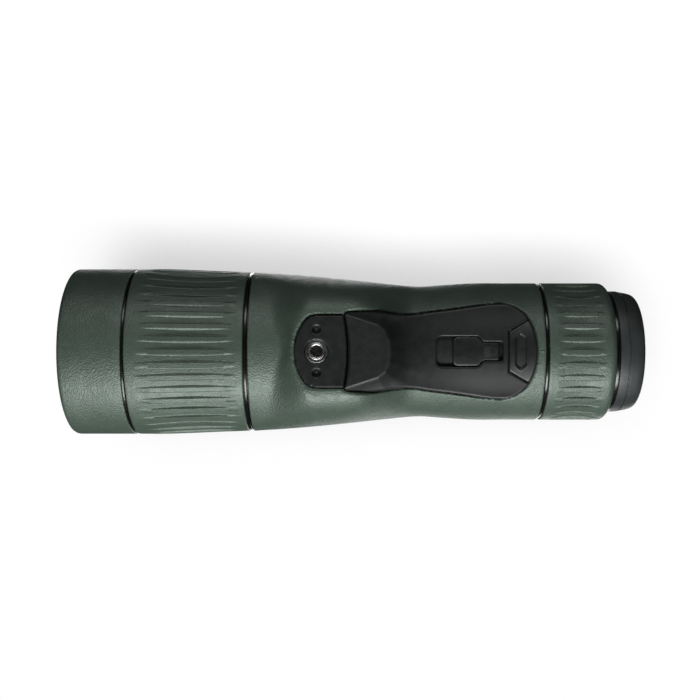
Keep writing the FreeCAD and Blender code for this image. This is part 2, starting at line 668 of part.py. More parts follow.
def zoom_grip():
    """Rubber sleeve with its rear edge rolled off towards the eyecup."""
    sleeve = turned([(ZOOM_X0, ZOOM_CORE_R), (ZOOM_X0, ZOOM_R - 0.4), (ZOOM_X0 + 0.5, ZOOM_R),
                     (136.8, ZOOM_R), (138.6, 33.5), (140.0, 32.3), (ZOOM_X1, ZOOM_CORE_R)])
    return fluted(sleeve, ZOOM_FLUTES, ZOOM_FLUTE_W, 113.2, 135.4, 33.0, 35.0)


def zoom_drive_pin():
    """Pin from the zoom ring, through the slot, into the cam sleeve."""
    return upright(DRIVE_PIN_X, 0, AXIS_Z + 24.9, AXIS_Z + 29.9, DRIVE_PIN_R)


def cam_sleeve():
    sleeve = ring(108.0, 138.0, 24.2, TUBE_IN - RUN)
    return sleeve.cut(upright(DRIVE_PIN_X, 0, AXIS_Z + 20, AXIS_Z + 30, DRIVE_PIN_R))


def rods_in_thirds(x0, length, r):
    """Three rods parallel to the axis on the guide circle."""
    rod = Part.makeCylinder(r, length, V(x0, 0, AXIS_Z + GUIDE_R), V(1, 0, 0))
    return group([about_axis(rod, angle) for angle in THIRDS])


def guide_rods():
    return rods_in_thirds(103.0, 36.0, GUIDE_ROD_R)


def guide_ring():
    """Ring at the front of the eyepiece tube that holds the rods."""
    plate = ring(100.0, 106.0, 18.5, TUBE_IN)
    return plate.cut(guide_rods())


def zoom_cell(x0):
    """Lens cell that slides on the three rods."""
    cell = ring(x0, x0 + ZOOM_CELL_L, ZOOM_LENS_R, 24.0)
    return cell.cut(rods_in_thirds(90.0, 60.0, GUIDE_ROD_R + RUN))


def ocular_cell():
    return ring(139.1, 149.6, EYE_LENS_R, TUBE_IN - 1.4)


def eyecup_carrier():
    """Sleeve under the rubber cup, counterbored for the key ring."""
    return turned([(143.0, 28.0), (143.0, CUP_SEAT_R), (153.0, CUP_SEAT_R), (153.0, NOSE_R + RUN),
                   (147.0, NOSE_R + RUN), (147.0, 28.0)])


def eyecup_key_ring():
    return ring(143.2, 146.8, NOSE_R + RUN, 27.94)


def eyecup():
    """Rubber cup with a fine step near its front and a rolled rear edge."""
    return turned([(142.9, CUP_SEAT_R), (142.9, 29.8), (143.1, EYECUP_R), (146.9, EYECUP_R), (147.1, 29.2),
                   (147.6, 29.2), (147.8, 29.75), (152.0, 29.0), (154.3, 28.1), (155.1, 27.2),
                   (EYECUP_X1, 26.0), (155.0, 23.6), (154.2, 22.6), (153.0, 22.4), (153.0, CUP_SEAT_R)])


# ---- the whole instrument -------------------------------------------------------------------
def build():
    parts = {
        "front_barrel": front_barrel(),
        "front_armour": front_armour(),
        "front_seam_ring": seam_ring(FRONT_SEAM_X, BARREL_OUT, FRONT_SEAM_R),
        "rear_seam_ring": seam_ring(REAR_SEAM_X, BARREL_BEARING, REAR_SEAM_R),
        "objective_cell": objective_cell(),
        "objective_crown_lens": lens(-107.5, -98.6, OBJECTIVE_R, 4.0, 3.0),
        "objective_flint_lens": lens(-98.4, -93.2, OBJECTIVE_R, -2.9, 0.3),
        "objective_retainer": ring(-110.5, -108.2, 27.4, OBJECTIVE_R),
        "objective_o_ring": o_ring(-112.0, BARREL_IN - 0.9, 0.9),
        "focus_core": focus_core(),
        "focus_grip": focus_grip(),
        "focus_carriage": focus_carriage(),
        "focus_lens": lens(-54.0, -46.5, FOCUS_LENS_R, -1.5, 2.0),
        "barrel_grub_screws": barrel_grub_screws(),
        "main_housing": main_housing(),
        "body_armour": body_armour(),
        "tripod_plate": tripod_plate(),
        "tripod_insert": tripod_insert(),
        "cover_hinge_pin": across(HINGE_X, HINGE_Z, HINGE_PIN_R, EAR_Y + EAR_T / 2),
        "battery_cover": battery_cover(),
        "lock_slider": lock_slider(),
        "release_tab": release_tab(),
        "release_pin": across(TAB_HINGE_X, TAB_HINGE_Z, TAB_PIN_R, 10.8),
        "battery_frame": battery_frame(),
        "battery_seal": battery_seal(),
        "battery": battery(),
        "contact_spring": contact_spring(),
        "contact_plate": contact_plate(),
        "beam_splitter": beam_splitter(),
        "laser_module": laser_module(),
        "receiver_module": receiver_module(),
        "prism_cage": prism_cage(),
        "front_prism": front_prism(),
        "rear_prism": rear_prism(),
        "display_plate": display_plate(),
        "main_board": main_board(),
        "board_screws": board_screws(),
        "flex_cable": flex_cable(),
        "button_bezel": button_bezel(),
        "range_button": push_button(RANGE_BUTTON_X, RANGE_BUTTON_R),
        "mode_button": push_button(MODE_BUTTON_X, MODE_BUTTON_R),
        "dome_switches": dome_switches(),
        "zoom_seam_ring": seam_ring(ZOOM_SEAM_X, TUBE_R, ZOOM_SEAM_R),
        "eyepiece_tube": eyepiece_tube(),
        "zoom_core": zoom_core(),
        "zoom_grip": zoom_grip(),
        "zoom_drive_pin": zoom_drive_pin(),
        "cam_sleeve": cam_sleeve(),
        "guide_rods": guide_rods(),
        "guide_ring": guide_ring(),
        "front_zoom_cell": zoom_cell(FRONT_ZOOM_X),
        "rear_zoom_cell": zoom_cell(REAR_ZOOM_X),
        "front_zoom_lens": lens(108.6, 113.8, ZOOM_LENS_R, 1.2, 1.2),
        "rear_zoom_lens": lens(127.4, 132.6, ZOOM_LENS_R, -0.8, 1.6),
        "ocular_cell": ocular_cell(),
        "eye_lens": lens(141.0, 148.4, EYE_LENS_R, 2.2, 2.2),
        "neck_ring": ring(141.0, 142.7, NOSE_R, 30.2, 0.2),
        "eyecup_carrier": eyecup_carrier(),
        "eyecup_key_ring": eyecup_key_ring(),
        "eyecup": eyecup(),
    }
    return parts


os.makedirs("parts", exist_ok=True)
for node, shape in build().items():
    shape.exportStep("parts/" + node + ".step")
    print(node, len(shape.Solids), round(shape.Volume, 1), shape.isValid())
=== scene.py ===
"""Looks of the monocular rangefinder: rubber skins, gloss rings, foot, cover, lock and lenses.

Sizes are in millimetres and are turned into metres when a mesh is made.  The optical axis runs
along +X; phi is measured about it, from straight down (the foot) towards +Y.
"""
import json
import math
import bpy
import numpy as np
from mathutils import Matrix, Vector


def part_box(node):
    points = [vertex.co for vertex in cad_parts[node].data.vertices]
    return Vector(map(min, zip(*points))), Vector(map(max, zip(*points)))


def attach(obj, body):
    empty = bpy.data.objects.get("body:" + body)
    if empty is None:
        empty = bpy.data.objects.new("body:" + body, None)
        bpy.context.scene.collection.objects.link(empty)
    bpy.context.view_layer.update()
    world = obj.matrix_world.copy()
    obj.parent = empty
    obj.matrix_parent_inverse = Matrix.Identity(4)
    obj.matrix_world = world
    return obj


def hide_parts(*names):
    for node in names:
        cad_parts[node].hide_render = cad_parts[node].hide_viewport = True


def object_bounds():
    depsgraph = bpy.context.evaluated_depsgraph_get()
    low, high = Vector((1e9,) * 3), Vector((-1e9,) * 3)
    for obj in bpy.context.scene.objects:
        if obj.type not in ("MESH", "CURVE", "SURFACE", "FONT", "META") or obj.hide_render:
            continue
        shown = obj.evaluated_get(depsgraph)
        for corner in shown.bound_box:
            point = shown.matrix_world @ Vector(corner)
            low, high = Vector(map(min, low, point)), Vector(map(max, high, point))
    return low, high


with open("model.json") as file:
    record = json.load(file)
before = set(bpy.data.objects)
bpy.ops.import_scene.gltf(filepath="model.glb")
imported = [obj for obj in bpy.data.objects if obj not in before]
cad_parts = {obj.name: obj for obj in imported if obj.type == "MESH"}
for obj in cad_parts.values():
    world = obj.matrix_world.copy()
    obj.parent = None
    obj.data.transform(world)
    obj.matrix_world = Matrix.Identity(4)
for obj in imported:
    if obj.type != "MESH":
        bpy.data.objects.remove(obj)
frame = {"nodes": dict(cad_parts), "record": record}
cad_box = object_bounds()
RECORD = frame["record"]
MM = 0.001


def box_mm(node):
    """Lowest and highest corner of a CAD node, in millimetres."""
    low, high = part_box(node)
    return np.array(low) / MM, np.array(high) / MM


# ---- sizes taken from the frame -------------------------------------------------------------
barrel_low, barrel_high = box_mm("front_barrel")
AXIS = (barrel_low[2] + barrel_high[2]) / 2
front_low, front_high = box_mm("front_armour")
focus_low, focus_high = box_mm("focus_grip")
body_low, body_high = box_mm("main_housing")
zoom_low, zoom_high = box_mm("zoom_grip")
cup_low, cup_high = box_mm("eyecup")
cover_low = box_mm("battery_cover")[0]
plate_low, plate_high = box_mm("tripod_plate")
slider_low, slider_high = box_mm("lock_slider")
bezel_low, bezel_high = box_mm("button_bezel")

FRONT_R = (front_high[1] - front_low[1]) / 2
ZOOM_R = (zoom_high[1] - zoom_low[1]) / 2
CUP_R = (cup_high[1] - cup_low[1]) / 2
BODY_X0 = body_low[0]
BODY_X1 = body_high[0]
PLATE_HALF = (plate_high[1] - plate_low[1]) / 2

# ---- sizes that the frame doesn't carry -------------------------------------------------------
SEAM_LAP = 0.4          # armour reaches this far over the gloss seam rings
SKIN = 2.2              # thickness of the body's rubber
PLATE_T = 4.0
PLATE_NOSE_R = 22.5
PLATE_SHOULDER = 14.0   # half width where the plate's nose arc ends
PLATE_SAG = 1.6         # how far the plate's rear edge bows back
PIN_HOLE_Y = 9.9        # anti-twist holes beside the tripod socket
PIN_HOLE_R = 2.05
THREAD_PITCH = 1.27
WEB_Z = 0.9             # the web's flat bottom lies this far above the foot face
WEB_FRONT = 7.0         # length of its ramp ahead of the plate, on the centre line
WEB_SPREAD = 0.9        # how much longer the ramp gets per millimetre to the side
WEB_ROUND = 6.0         # rounds the ramp's ridge on the centre line
WEB_REAR_X = 16.0       # where the web starts to fade behind the plate
WEB_REAR = 30.0
WEB_END_X = 62.0
NOSE_SPAN = 10.0
HINGE_X = 16.9          # the battery cover's hinge pin
HINGE_Z = 2.6
HINGE_GAP = 0.15
COVER_OUT = 1.5         # the cover stands this far proud of the round body
COVER_T = 2.6
COVER_EDGE = 1.0
COVER_FRONT_HALF = 16.5
FOOT_FALL = 12.6        # the cover's foot face falls away by up to this
FOOT_RUN = 9.2
LOCK_SHOULDER_X = 75.3  # where the pocket and the slider narrow
LOCK_TOP = 34.7         # radii of the slider's face and the pocket's floor
LOCK_FLOOR = 32.9
POCKET_X0 = 55.5
POCKET_X1 = 86.7
TAB_X0 = 89.4
TAB_HALF = 9.2
TAB_RIM_X = 98.9        # the tab takes over the cover's outline behind this
PAD_DEPTH = 0.75
LOCK_SIGN_X = 77.9      # rear end of the padlock symbol
LOCK_SIGN_HALF = 2.5
SIGN_RISE = 0.06
FLUTES_FOCUS = 42
FLUTES_ZOOM = 34
FLUTE_PHASE = -1.2      # degrees
FLUTE_SHARE = 0.66      # part of the pitch that a channel takes
FLUTE_TAPER = 1.7       # higher keeps the channels deep nearer to their ends
WALL_SLOPE = 1.3
BUTTON_PAD_R = 9.0

BODY_POINTS = [(BODY_X0, 39.5), (-17.0, 38.5), (0.2, 37.0), (20.0, 35.0), (34.9, 33.5),
               (49.8, 32.4), (62.0, 33.2), (76.0, 34.0), (92.0, 34.0), (BODY_X1, 34.0)]
FOCUS_POINTS = [(focus_low[0], 41.0), (-74.0, 41.0), (-62.0, 40.6), (-48.0, 40.0),
                (focus_high[0], 39.5)]


# ---- radius along the optical axis -----------------------------------------------------------
def smooth_profile(points):
    """Radius as a smooth function of x through a few points."""
    xs = np.array([p[0] for p in points], float)
    rs = np.array([p[1] for p in points], float)
    slopes = np.gradient(rs, xs)

    def radius(x):
        x = np.clip(x, xs[0], xs[-1])
        i = np.clip(np.searchsorted(xs, x) - 1, 0, len(xs) - 2)
        h = xs[i + 1] - xs[i]
        t = (x - xs[i]) / h
        a = (1 + 2 * t) * (1 - t) ** 2 * rs[i] + t * (1 - t) ** 2 * h * slopes[i]
        b = t * t * (3 - 2 * t) * rs[i + 1] + t * t * (t - 1) * h * slopes[i + 1]
        return a + b
    return radius


body_radius = smooth_profile(BODY_POINTS)
focus_radius = smooth_profile(FOCUS_POINTS)


# ---- outlines seen from below, as closed (x, y) loops ----------------------------------------
def arc(cx, cy, r, a0, a1, steps):
    """Points along an arc, from angle a0 to a1 in degrees."""
    angles = np.radians(np.linspace(a0, a1, steps))
    return [(cx + r * math.cos(a), cy + r * math.sin(a)) for a in angles]


def rounded(points, radius):
    """A polygon with its corners rounded."""
    points = [np.array(p, float) for p in points]
    out = []
    for i, here in enumerate(points):
        before = points[i - 1] - here
        after = points[(i + 1) % len(points)] - here
        reach = min(radius, 0.45 * np.linalg.norm(before), 0.45 * np.linalg.norm(after))
        a = here + before / np.linalg.norm(before) * reach
        b = here + after / np.linalg.norm(after) * reach
        for t in np.linspace(0, 1, 6):
            out.append((1 - t) ** 2 * a + 2 * t * (1 - t) * here + t * t * b)
    return np.array(out)


def dense(loop, step=0.5):
    """The same closed loop with points no further apart than step."""
    loop = np.array(loop, float)
    out = []
    for a, b in zip(loop, np.roll(loop, -1, axis=0)):
        count = max(1, int(np.ceil(np.linalg.norm(b - a) / step)))
        out += [a + (b - a) * k / count for k in range(count)]
    return np.array(out)


def smooth_line(points):
    """Smooth open curve through its points."""
    points = [np.array(p, float) for p in points]
    last = len(points) - 1
    out = []
    for i in range(last):
        p0, p1, p2, p3 = points[max(i - 1, 0)], points[i], points[i + 1], points[min(i + 2, last)]
        for t in np.linspace(0, 1, 9)[:-1]:
            out.append(0.5 * (2 * p1 + (p2 - p0) * t + (2 * p0 - 5 * p1 + 4 * p2 - p3) * t * t
                              + (3 * p1 - p0 - 3 * p2 + p3) * t ** 3))
    return out + [points[-1]]


def plate_loop(grow=0.0):
    """D shape: round nose, straight sides, shallow convex rear."""
    half = PLATE_HALF + grow
    tip_x = plate_low[0] - grow
    rear = plate_high[0] + grow
    nose_r = PLATE_NOSE_R + grow
    angle = math.degrees(math.asin((PLATE_SHOULDER + grow) / nose_r))
    points = arc(tip_x + nose_r, 0, nose_r, 180 + angle, 180 - angle, 24)
    points += [(points[-1][0] + 2.1, half - 0.7), (points[-1][0] + 5.0, half)]
    mirrored = [(x, -y) for x, y in reversed(points[-2:])]
    rear_arc = [(rear - PLATE_SAG * (t / half) ** 2, t) for t in np.linspace(half, -half, 20)]
    return dense(points + rear_arc + mirrored)


COVER_HALF = [(20.0, 18.9), (27.0, 18.7), (38.9, 17.15), (46.0, 17.4),
              (53.4, 18.5), (64.8, 19.9), (76.4, 21.6), (84.0, 22.4), (89.7, 22.1), (93.5, 20.5),
              (97.2, 17.6), (99.9, 13.1), (101.9, 6.5), (102.5, 0.0)]


def cover_loop(grow=0.0):
    """Hourglass with a rounded rear end, square at the front."""
    rear = plate_high[0] + 0.45
    half = [(rear - PLATE_SAG * (t / COVER_FRONT_HALF) ** 2, t)
            for t in (0.0, 4.0, 8.0, 12.0, 15.0)]
    half += [(rear - PLATE_SAG, 17.0), (rear - 0.5, 18.0), (rear + 2.0, 18.55)] + COVER_HALF
    loop = dense(smooth_line(half + [(x, -y) for x, y in reversed(half[:-1])]))
    if grow:
        ahead = np.roll(loop, -1, axis=0) - np.roll(loop, 1, axis=0)
        normal = np.stack([-ahead[:, 1], ahead[:, 0]], 1)
        normal /= np.linalg.norm(normal, axis=1)[:, None]
        loop = loop + normal * grow
    return loop


def bottle_loop(x0, x1, half, neck, front_r=1.2):
    """Bottle shape of the lock slider and its pocket, with the neck to the rear."""
    shoulder = LOCK_SHOULDER_X
    points = [(x0, -half), (shoulder, -half), (shoulder + 1.9, -neck), (x1, -neck), (x1, neck),
              (shoulder + 1.9, neck), (shoulder, half), (x0, half)]
    tight = rounded(points, 1.2)
    wide = rounded(points, front_r)
    front = wide[:, 0] < x0 + front_r + 0.1
    return dense(np.where(front[:, None], wide, tight))


def tab_loop(gap=0.0):
    """Trapezoid whose rear edge is the cover's own rear outline."""
    front = TAB_X0 - gap
    rim = [tuple(p) for p in cover_loop() if p[0] > TAB_RIM_X]
    upper = sorted([p for p in rim if p[1] >= 0], key=lambda p: -p[1])
    lower = sorted([p for p in rim if p[1] < 0], key=lambda p: -p[1])
    return dense([(front, TAB_HALF + gap)] + upper + lower + [(front, -TAB_HALF - gap)])


def circle_loop(x, y, r, steps=48):
    """Circle as a closed loop."""
    return np.array(arc(x, y, r, 0, 360 - 360 / steps, steps))


PAD_LOOP = dense(rounded([(92.3, -6.4), (94.9, -8.6), (97.6, -6.4), (97.6, 6.4), (94.9, 8.6),
                          (92.3, 6.4)], 0.8))
FLAT_LOOP = dense([(cover_low[0] - 2.0, -16.6), (28.0, -11.5), (31.2, -9.0), (33.1, -5.0),
                   (33.6, 0.0), (33.1, 5.0), (31.2, 9.0), (28.0, 11.5),
                   (cover_low[0] - 2.0, 16.6)])


def signed(px, py, loop):
    """Distance to a closed loop, positive inside, with the nearest point on it."""
    px = np.asarray(px, float).ravel()
    py = np.asarray(py, float).ravel()
    a = loop
    b = np.roll(loop, -1, axis=0)
    d = b - a
    length2 = np.maximum((d ** 2).sum(1), 1e-12)
    best = np.full(px.shape, 1e9)
    near = np.zeros((len(px), 2))
    inside = np.zeros(px.shape, bool)
    for k in range(len(a)):
        t = np.clip(((px - a[k, 0]) * d[k, 0] + (py - a[k, 1]) * d[k, 1]) / length2[k], 0, 1)
        qx = a[k, 0] + t * d[k, 0]
        qy = a[k, 1] + t * d[k, 1]
        dist = (px - qx) ** 2 + (py - qy) ** 2
        closer = dist < best
        best = np.where(closer, dist, best)
        near[closer, 0] = qx[closer]
        near[closer, 1] = qy[closer]
        crosses = (a[k, 1] > py) != (b[k, 1] > py)
        if crosses.any():
            rise = d[k, 1] if abs(d[k, 1]) > 1e-9 else 1e-9
            x_cross = a[k, 0] + (py - a[k, 1]) / rise * d[k, 0]
            inside ^= crosses & (px < x_cross)
    best = np.sqrt(best)
    return np.where(inside, best, -best), near


# ---- height of the underside, z as a function of (x, y) --------------------------------------
def smooth_min(a, b, k):
    """Lesser of two values, blended where they come within k of each other."""
    h = np.clip(0.5 + 0.5 * (b - a) / k, 0, 1)
    return b + (a - b) * h - k * h * (1 - h)


def round_z(x, y, grow=0.0):
    """The round body's underside, grown outwards."""
    r = body_radius(x) + grow
    return AXIS - np.sqrt(np.maximum(r * r - y * y, 0))


def cylinder_z(radius):
    """Underside of a plain tube about the optical axis, as a function of (x, y)."""
    return lambda x, y: AXIS - np.sqrt(np.maximum(radius ** 2 - y * y, 0))


def foot_z(x, y):
    """Flat foot face that falls away to the sides and, more gently, to the rear."""
    away = np.maximum(-signed(x, y, FLAT_LOOP)[0].reshape(np.shape(x)), 0)
    run = np.sqrt(away ** 2 + 0.8) - math.sqrt(0.8)
    return FOOT_FALL * (1 - np.exp(-run / FOOT_RUN))


def cover_z(x, y):
    """The cover: the foot's flat face, blended into a shell a little proud of the body."""
    return smooth_min(round_z(x, y, COVER_OUT), foot_z(x, y), 4.5)


def cover_panel_z(x, y):
    """Cover with its front edge rounded about the hinge, so that it swings clear of the plate."""
    reach = HINGE_X - plate_high[0] + PLATE_SAG * (y / PLATE_HALF) ** 2 - HINGE_GAP
    nose = HINGE_Z - np.sqrt(np.maximum(reach ** 2 - (HINGE_X - x) ** 2, 0))
    return np.where(x < HINGE_X, np.maximum(cover_z(x, y), nose), cover_z(x, y))


def ease(t):
    """Smooth step from 0 to 1."""
    t = np.clip(t, 0, 1)
    return t * t * (3 - 2 * t)


def nose_x(y):
    """Roughly where the foot plate's round nose lies at each y, levelling out to the sides."""
    return plate_low[0] + NOSE_SPAN * np.tanh(y ** 2 / (2 * PLATE_NOSE_R * NOSE_SPAN))


def web_z(x, y):
    """Rubber web round the foot: a flat bottom as wide as the plate, with deep rounded flanks."""
    flat = PLATE_HALF + 0.5
    out = np.clip((np.abs(y) - flat) / np.maximum(body_radius(x) - flat, 1.0), 0, 1)
    return WEB_Z + (AXIS - WEB_Z) * (1 - np.sqrt(1 - out ** 2))


def armour_z(x, y):
    """Round body that swells into the web beside the foot plate."""
    reach = WEB_FRONT + WEB_SPREAD * (np.sqrt(y ** 2 + WEB_ROUND ** 2) - WEB_ROUND)
    front = ease((nose_x(y) - 0.3 - x) / reach)
    rear = ease((x - WEB_REAR_X) / WEB_REAR)
    plain = round_z(x, y)
    return plain + (1 - front) * (1 - rear) * np.minimum(web_z(x, y) - plain, 0)


# ---- mesh helpers ---------------------------------------------------------------------------
def add_piece(name, verts, faces, body, material, nodes=(), sharp=35):
    """Mesh in millimetres that rides on a body, in place of the CAD nodes named."""
    mesh = bpy.data.meshes.new(name)
    mesh.from_pydata((np.asarray(verts) * MM).tolist(), [], faces)
    mesh.validate()
    mesh.shade_smooth()
    mesh.set_sharp_from_angle(angle=math.radians(sharp))
    mesh.materials.append(material)
    piece = bpy.data.objects.new(name, mesh)
    bpy.context.scene.collection.objects.link(piece)
    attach(piece, body)
    if nodes:
        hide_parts(*nodes)


def fillet_profile(points):
    """Closed (x, r, fillet) corners to a closed profile with round corners."""
    out = []
    count = len(points)
    for i in range(count):
        here = np.array(points[i][:2], float)
        fillet = points[i][2]
        if fillet <= 0:
            out.append(here)
            continue
        before = np.array(points[i - 1][:2], float) - here
        after = np.array(points[(i + 1) % count][:2], float) - here
        a = here + before / np.linalg.norm(before) * min(fillet, np.linalg.norm(before) * 0.5)
        b = here + after / np.linalg.norm(after) * min(fillet, np.linalg.norm(after) * 0.5)
        out += [(1 - t) ** 2 * a + 2 * t * (1 - t) * here + t * t * b
                for t in np.linspace(0, 1, 5)]
    return out


def ring_faces(rows, columns):
    """Quads of a grid that closes on itself both ways."""
    faces = []
    for i in range(rows):
        for j in range(columns):
            a = i * columns + j
            b = i * columns + (j + 1) % columns
            c = ((i + 1) % rows) * columns + (j + 1) % columns
            d = ((i + 1) % rows) * columns + j
            faces.append((a, b, c, d))
    return faces


def lathe(points):
    """Closed profile turned about the optical axis.  Profiles run clockwise in (x, r)."""
    profile = fillet_profile(points)
    phi = np.linspace(0, 2 * np.pi, 240, endpoint=False)
    verts = [(x, r * math.sin(a), AXIS - r * math.cos(a)) for x, r in profile for a in phi]
    return verts, [f[::-1] for f in ring_faces(len(profile), len(phi))]


def lathe_upright(points, cx, cy, columns=96):
    """Closed (z, r) profile turned about a vertical line."""
    profile = fillet_profile(points)
    phi = np.linspace(0, 2 * np.pi, columns, endpoint=False)
    verts = [(cx + r * math.cos(a), cy + r * math.sin(a), z) for z, r in profile for a in phi]
    return verts, [f[::-1] for f in ring_faces(len(profile), columns)]


def thicken(outer, faces, inner):
    """Close a sheet into a solid with a second sheet and walls along its free edges."""
    count = len(outer)
    seen = {}
    for f in faces:
        for a, b in zip(f, f[1:] + f[:1]):
            seen[(a, b)] = True
    walls = [(b, a, a + count, b + count) for a, b in seen if (b, a) not in seen]
    back = [tuple(v + count for v in reversed(f)) for f in faces]
    return np.vstack([outer, inner]), list(faces) + back + walls


def drop_unused(verts, inner, faces):
    """Both sheets without the points that no face uses."""
    used = sorted({v for f in faces for v in f})
    place = {v: i for i, v in enumerate(used)}
    return verts[used], inner[used], [tuple(place[v] for v in f) for f in faces]


def clip_faces(rows, columns, distance, wrap=False):
    """Grid faces inside the region; a quad with one corner out keeps a triangle."""
    faces = []
    state = distance.ravel() >= -1e-6
    for i in range(rows - 1):
        for j in range(columns if wrap else columns - 1):
            k = (j + 1) % columns
            quad = (i * columns + j, i * columns + k, (i + 1) * columns + k, (i + 1) * columns + j)
            kept = tuple(v for v in quad if state[v])
            if len(kept) >= 3:
                faces.append(kept)
    return faces


def edge_drop(distance, radius):
    """How far a rounded edge falls away at a distance from the rim."""
    d = np.clip(distance, 0, radius)
    return radius - np.sqrt(np.maximum(radius ** 2 - (radius - d) ** 2, 0))


def patch(outer, holes, height, step, edge, thickness, hole_edge=None):
    """Solid panel facing down over an outline, with holes, cut exactly along its loops."""
    low = outer.min(0) - step
    high = outer.max(0) + step
    xs = np.arange(low[0], high[0] + step, step)
    ys = np.arange(-max(abs(low[1]), high[1]) - step / 2, max(abs(low[1]), high[1]) + step, step)
    gx, gy = np.meshgrid(xs, ys, indexing="ij")
    x = gx.ravel().copy()
    y = gy.ravel().copy()
    distance, near = signed(x, y, outer)
    on_hole = np.zeros(len(x), bool)
    for hole in holes:
        gap, hole_near = signed(x, y, hole)
        closer = -gap < distance
        distance = np.where(closer, -gap, distance)
        near[closer] = hole_near[closer]
        on_hole |= closer
    snap = np.abs(distance) < 0.5 * step
    x[snap] = near[snap, 0]
    y[snap] = near[snap, 1]
    distance[snap] = 0.0
    faces = clip_faces(gx.shape[0], gx.shape[1], distance)
    radius = np.where(on_hole, edge if hole_edge is None else hole_edge, edge)
    z = height(x, y)
    drop = np.zeros(len(x))
    for value in set(radius.tolist()):
        if value > 0:
            drop = np.where(radius == value, edge_drop(distance, value), drop)
    top = np.stack([x, y, z + drop], 1)
    back = np.stack([x, y, z + np.maximum(thickness, drop + 0.05)], 1)
    faces = [tuple(reversed(f)) for f in faces]
    top, back, faces = drop_unused(top, back, faces)
    return thicken(top, faces, back)


def flip_up(verts, faces):
    """Mirror a panel made facing down into one that faces up."""
    verts = np.array(verts, float)
    verts[:, 2] = 2 * AXIS - verts[:, 2]
    return verts, [tuple(reversed(f)) for f in faces]


# ---- materials ------------------------------------------------------------------------------
PATCH_MM = 9.0          # size of the faint patches of colour in rubber and plastic


class Shader:
    """Small helper that builds one node material."""

    def __init__(self, name):
        self.material = bpy.data.materials.new(name)
        self.material.use_nodes = True
        self.tree = self.material.node_tree
        self.principled = self.tree.nodes["Principled BSDF"]
        coordinates = self.tree.nodes.new("ShaderNodeTexCoord")
        self.place = coordinates.outputs["Object"]

    def node(self, kind, **values):
        """New node with its inputs or properties set by name."""
        made = self.tree.nodes.new(kind)
        for key, value in values.items():
            if key in made.inputs:
                made.inputs[key].default_value = value
            else:
                setattr(made, key, value)
        return made

    def link(self, a, b):
        self.tree.links.new(a, b)

    def noise(self, scale, detail=4.0, rough=0.55):
        """Cloudy noise in the object's own space."""
        made = self.node("ShaderNodeTexNoise", Scale=scale, Detail=detail, Roughness=rough)
        self.link(self.place, made.inputs["Vector"])
        return made.outputs["Fac"]

    def cells(self, scale):
        """Soft pebbles for moulded grain."""
        made = self.node("ShaderNodeTexVoronoi", Scale=scale, feature="SMOOTH_F1")
        made.inputs["Smoothness"].default_value = 0.6
        self.link(self.place, made.inputs["Vector"])
        return made.outputs["Distance"]

    def span(self, value, low, high, to_low, to_high):
        """Value moved from one range to another."""
        made = self.node("ShaderNodeMapRange")
        for key, number in (("From Min", low), ("From Max", high), ("To Min", to_low),
                            ("To Max", to_high)):
            made.inputs[key].default_value = number
        self.link(value, made.inputs["Value"])
        return made.outputs["Result"]

    def mix(self, factor, a, b):
        """Blend of two colours, each a tuple or a socket."""
        made = self.node("ShaderNodeMix", data_type="RGBA")
        for key, value in (("A", a), ("B", b)):
            socket = [s for s in made.inputs if s.name == key and s.type == "RGBA"][0]
            if isinstance(value, tuple):
                socket.default_value = value + (1.0,)
            else:
                self.link(value, socket)
        self.link(factor, made.inputs["Factor"])
        return [s for s in made.outputs if s.type == "RGBA"][0]

    def bump(self, height, distance, strength, under=None):
        """Relief on the surface, over an earlier relief if one is given."""
        made = self.node("ShaderNodeBump", Strength=strength, Distance=distance)
        self.link(height, made.inputs["Height"])
        if under is not None:
            self.link(under, made.inputs["Normal"])
        self.link(made.outputs["Normal"], self.principled.inputs["Normal"])
        return made.outputs["Normal"]

    def worn_edges(self, amount):
        """Mask that is high along convex edges."""
        geometry = self.node("ShaderNodeNewGeometry")
        return self.span(geometry.outputs["Pointiness"], 0.53, 0.62, 0.0, amount)


def moulded(name, color, rough, grain_mm, depth_mm, spots=0.12, wear=0.25, specular=0.5,
            tint=(1.0, 1.0, 1.0)):
    """Rubber, plastic or paint: fine grain, patchy colour and roughness, rubbed edges."""
    s = Shader(name)
    dark = tuple(c * (1 - spots) for c in color)
    light = tuple(min(1.0, c * (1 + spots)) for c in color)
    rubbed = tuple(min(1.0, c * 1.7 + 0.01) for c in color)
    patchy = s.span(s.noise(1.0 / (PATCH_MM * MM), 5.0), 0.35, 0.65, 0.0, 1.0)
    base = s.mix(patchy, dark, light)
    s.link(s.mix(s.worn_edges(wear), base, rubbed), s.principled.inputs["Base Color"])
    fine = s.noise(1.0 / (PATCH_MM * 0.45 * MM), 6.0, 0.65)
    s.link(s.span(fine, 0.3, 0.7, max(rough - 0.07, 0.02), min(rough + 0.07, 1.0)),
           s.principled.inputs["Roughness"])
    pebbles = s.bump(s.cells(1.0 / (grain_mm * MM)), depth_mm * MM, 0.9)
    s.bump(s.noise(2.6 / (grain_mm * MM), 3.0), depth_mm * 0.5 * MM, 0.6, pebbles)
    s.principled.inputs["Specular IOR Level"].default_value = specular
    s.principled.inputs["Specular Tint"].default_value = tint + (1.0,)
    return s.material


